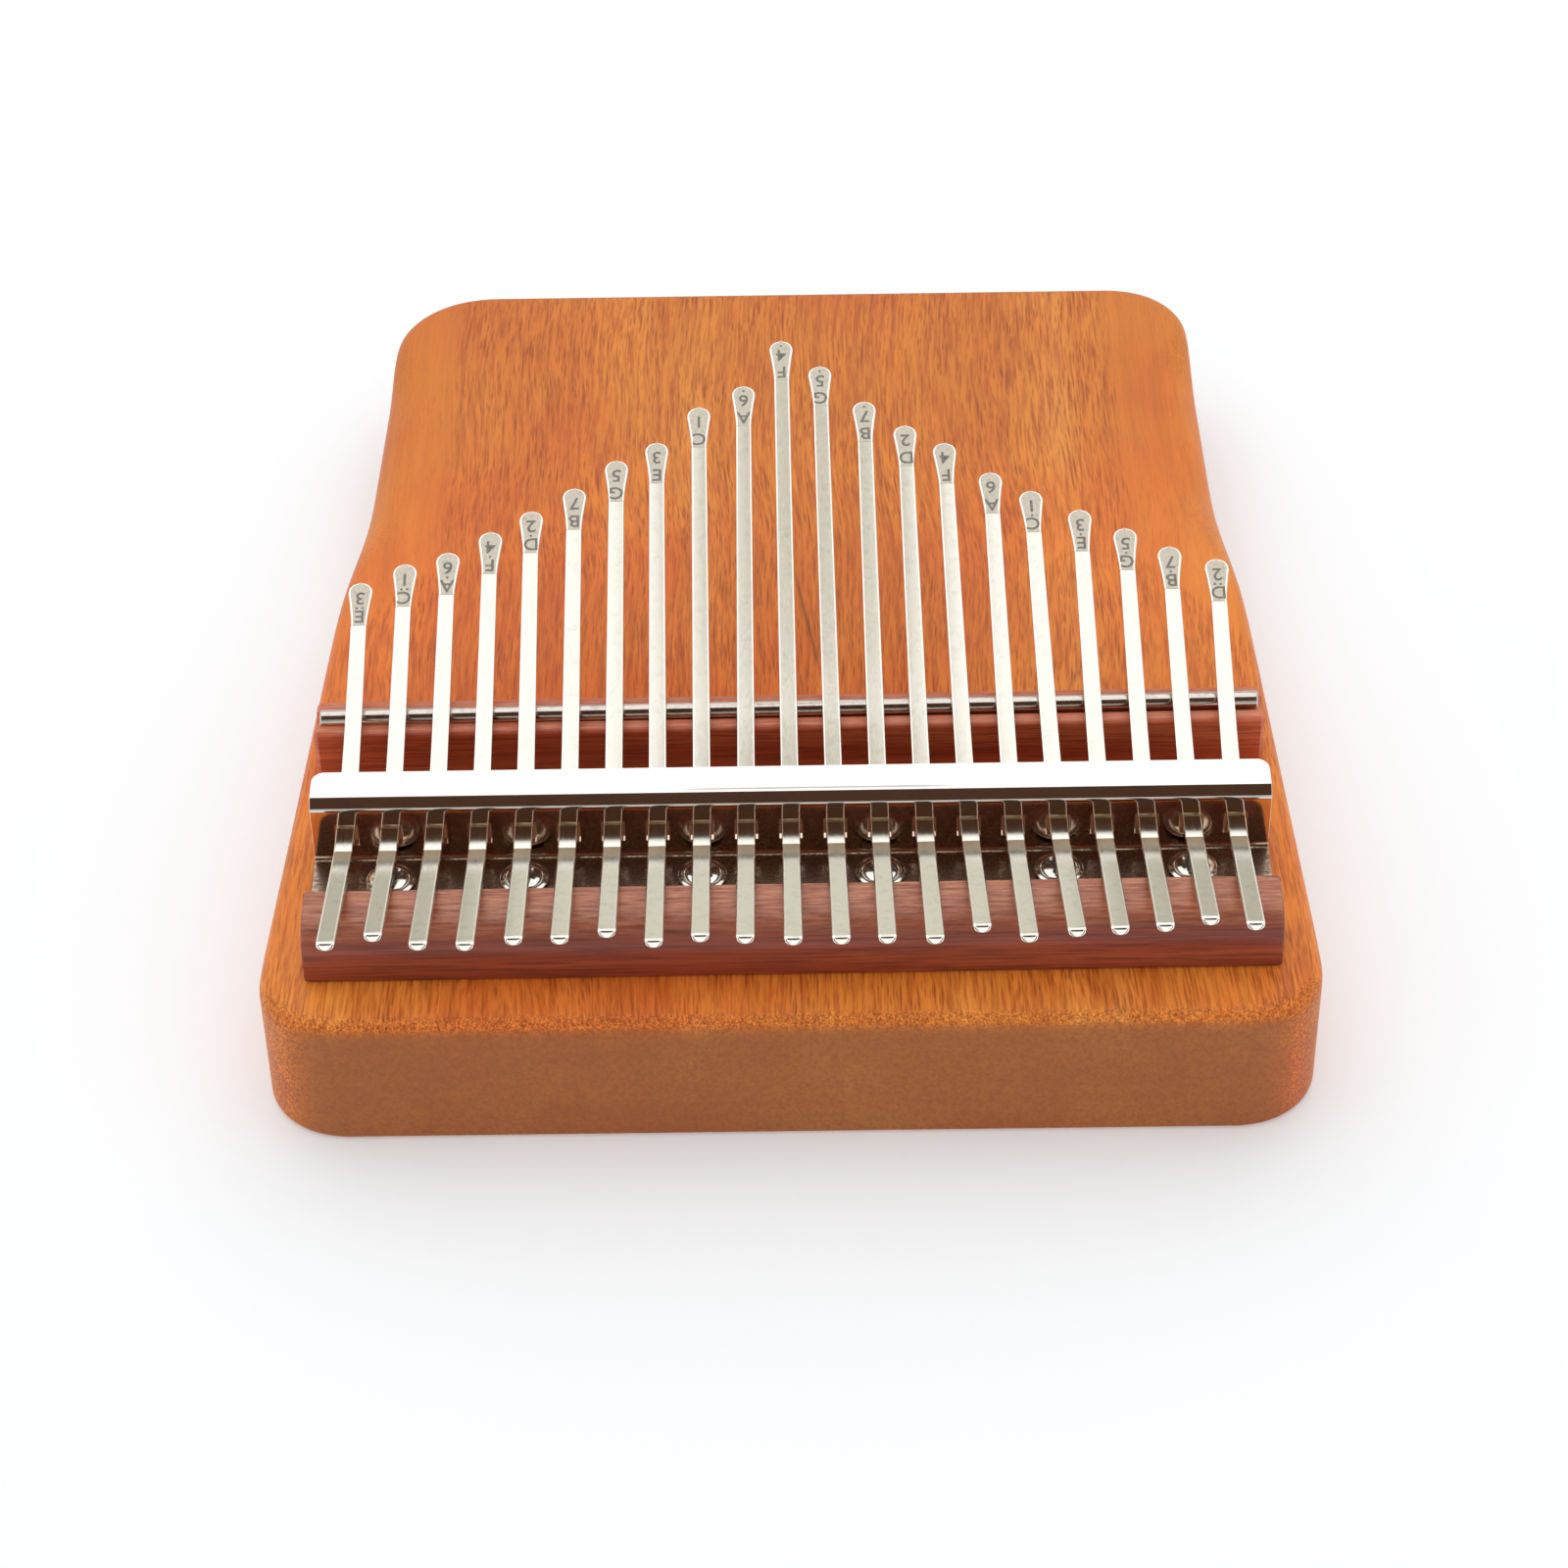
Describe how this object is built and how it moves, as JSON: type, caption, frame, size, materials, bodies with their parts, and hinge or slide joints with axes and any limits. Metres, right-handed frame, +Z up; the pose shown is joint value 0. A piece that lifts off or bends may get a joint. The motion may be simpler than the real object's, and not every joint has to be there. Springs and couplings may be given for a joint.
{
  "type": "kalimba",
  "caption": "Flat-board kalimba: waisted solid wood board, tuned spring steel tines held by a slotted Z-shaped chrome bracket between a rear bridge and a steel rod.",
  "frame": {"origin": "middle of the board's underside, at the centre of the bounding box", "axes": "+Y along the board towards the playing tips, +X to the right seen from the tail end, +Z up out of the board's face"},
  "size_m": [0.1552, 0.1834, 0.051],
  "materials": {
    "mahogany": "oiled, open pores",
    "bridge_wood": "satin, dark red brown",
    "ground_steel": "ground bright",
    "polished_chrome": "polished plate",
    "plated_screw": "bright plate",
    "spring_steel": "smooth blank spring steel"
  },
  "bodies": {
    "stand": {"body_board": "mahogany", "front_bridge": "bridge_wood", "bridge_rod": "ground_steel", "pressure_bracket": "polished_chrome", "rear_bridge": "bridge_wood", "screw_1": "plated_screw", "screw_2": "plated_screw", "screw_3": "plated_screw", "screw_4": "plated_screw", "screw_5": "plated_screw", "screw_6": "plated_screw"},
    "tine_01": {"tine_01": "spring_steel"},
    "tine_02": {"tine_02": "spring_steel"},
    "tine_03": {"tine_03": "spring_steel"},
    "tine_04": {"tine_04": "spring_steel"},
    "tine_05": {"tine_05": "spring_steel"},
    "tine_06": {"tine_06": "spring_steel"},
    "tine_07": {"tine_07": "spring_steel"},
    "tine_08": {"tine_08": "spring_steel"},
    "tine_09": {"tine_09": "spring_steel"},
    "tine_10": {"tine_10": "spring_steel"},
    "tine_11": {"tine_11": "spring_steel"},
    "tine_12": {"tine_12": "spring_steel"},
    "tine_13": {"tine_13": "spring_steel"},
    "tine_14": {"tine_14": "spring_steel"},
    "tine_15": {"tine_15": "spring_steel"},
    "tine_16": {"tine_16": "spring_steel"},
    "tine_17": {"tine_17": "spring_steel"},
    "tine_18": {"tine_18": "spring_steel"},
    "tine_19": {"tine_19": "spring_steel"},
    "tine_20": {"tine_20": "spring_steel"},
    "tine_21": {"tine_21": "spring_steel"}
  },
  "joints": [
    {"name": "tine_01_spring", "type": "hinge", "parent": "stand", "child": "tine_01", "pos_m": [-0.06604, -0.0325, 0.0318], "axis": [1, 0, 0], "range_deg": [-0.5, 0.27], "stiffness_Nm_per_rad": 0.1},
    {"name": "tine_02_spring", "type": "hinge", "parent": "stand", "child": "tine_02", "pos_m": [-0.05936, -0.0325, 0.0318], "axis": [1, 0, 0], "range_deg": [-0.5, 0.27], "stiffness_Nm_per_rad": 0.1},
    {"name": "tine_03_spring", "type": "hinge", "parent": "stand", "child": "tine_03", "pos_m": [-0.05276, -0.0325, 0.0318], "axis": [1, 0, 0], "range_deg": [-0.5, 0.27], "stiffness_Nm_per_rad": 0.1},
    {"name": "tine_04_spring", "type": "hinge", "parent": "stand", "child": "tine_04", "pos_m": [-0.0462, -0.0325, 0.0318], "axis": [1, 0, 0], "range_deg": [-0.5, 0.27], "stiffness_Nm_per_rad": 0.1},
    {"name": "tine_05_spring", "type": "hinge", "parent": "stand", "child": "tine_05", "pos_m": [-0.03972, -0.0325, 0.0318], "axis": [1, 0, 0], "range_deg": [-0.5, 0.27], "stiffness_Nm_per_rad": 0.1},
    {"name": "tine_06_spring", "type": "hinge", "parent": "stand", "child": "tine_06", "pos_m": [-0.03308, -0.0325, 0.0318], "axis": [1, 0, 0], "range_deg": [-0.5, 0.27], "stiffness_Nm_per_rad": 0.1},
    {"name": "tine_07_spring", "type": "hinge", "parent": "stand", "child": "tine_07", "pos_m": [-0.02648, -0.0325, 0.0318], "axis": [1, 0, 0], "range_deg": [-0.5, 0.27], "stiffness_Nm_per_rad": 0.1},
    {"name": "tine_08_spring", "type": "hinge", "parent": "stand", "child": "tine_08", "pos_m": [-0.01996, -0.0325, 0.0318], "axis": [1, 0, 0], "range_deg": [-0.5, 0.27], "stiffness_Nm_per_rad": 0.1},
    {"name": "tine_09_spring", "type": "hinge", "parent": "stand", "child": "tine_09", "pos_m": [-0.01332, -0.0325, 0.0318], "axis": [1, 0, 0], "range_deg": [-0.5, 0.27], "stiffness_Nm_per_rad": 0.1},
    {"name": "tine_10_spring", "type": "hinge", "parent": "stand", "child": "tine_10", "pos_m": [-0.00656, -0.0325, 0.0318], "axis": [1, 0, 0], "range_deg": [-0.5, 0.27], "stiffness_Nm_per_rad": 0.1},
    {"name": "tine_11_spring", "type": "hinge", "parent": "stand", "child": "tine_11", "pos_m": [-0.00008, -0.0325, 0.0318], "axis": [1, 0, 0], "range_deg": [-0.5, 0.27], "stiffness_Nm_per_rad": 0.1},
    {"name": "tine_12_spring", "type": "hinge", "parent": "stand", "child": "tine_12", "pos_m": [0.00639, -0.0325, 0.0318], "axis": [1, 0, 0], "range_deg": [-0.5, 0.27], "stiffness_Nm_per_rad": 0.1},
    {"name": "tine_13_spring", "type": "hinge", "parent": "stand", "child": "tine_13", "pos_m": [0.01308, -0.0325, 0.0318], "axis": [1, 0, 0], "range_deg": [-0.5, 0.27], "stiffness_Nm_per_rad": 0.1},
    {"name": "tine_14_spring", "type": "hinge", "parent": "stand", "child": "tine_14", "pos_m": [0.0196, -0.0325, 0.0318], "axis": [1, 0, 0], "range_deg": [-0.5, 0.27], "stiffness_Nm_per_rad": 0.1},
    {"name": "tine_15_spring", "type": "hinge", "parent": "stand", "child": "tine_15", "pos_m": [0.02603, -0.0325, 0.0318], "axis": [1, 0, 0], "range_deg": [-0.5, 0.27], "stiffness_Nm_per_rad": 0.1},
    {"name": "tine_16_spring", "type": "hinge", "parent": "stand", "child": "tine_16", "pos_m": [0.03275, -0.0325, 0.0318], "axis": [1, 0, 0], "range_deg": [-0.5, 0.27], "stiffness_Nm_per_rad": 0.1},
    {"name": "tine_17_spring", "type": "hinge", "parent": "stand", "child": "tine_17", "pos_m": [0.03919, -0.0325, 0.0318], "axis": [1, 0, 0], "range_deg": [-0.5, 0.27], "stiffness_Nm_per_rad": 0.1},
    {"name": "tine_18_spring", "type": "hinge", "parent": "stand", "child": "tine_18", "pos_m": [0.04612, -0.0325, 0.0318], "axis": [1, 0, 0], "range_deg": [-0.5, 0.27], "stiffness_Nm_per_rad": 0.1},
    {"name": "tine_19_spring", "type": "hinge", "parent": "stand", "child": "tine_19", "pos_m": [0.05284, -0.0325, 0.0318], "axis": [1, 0, 0], "range_deg": [-0.5, 0.27], "stiffness_Nm_per_rad": 0.1},
    {"name": "tine_20_spring", "type": "hinge", "parent": "stand", "child": "tine_20", "pos_m": [0.05948, -0.0325, 0.0318], "axis": [1, 0, 0], "range_deg": [-0.5, 0.27], "stiffness_Nm_per_rad": 0.1},
    {"name": "tine_21_spring", "type": "hinge", "parent": "stand", "child": "tine_21", "pos_m": [0.06637, -0.0325, 0.0318], "axis": [1, 0, 0], "range_deg": [-0.5, 0.27], "stiffness_Nm_per_rad": 0.1}
  ]
}
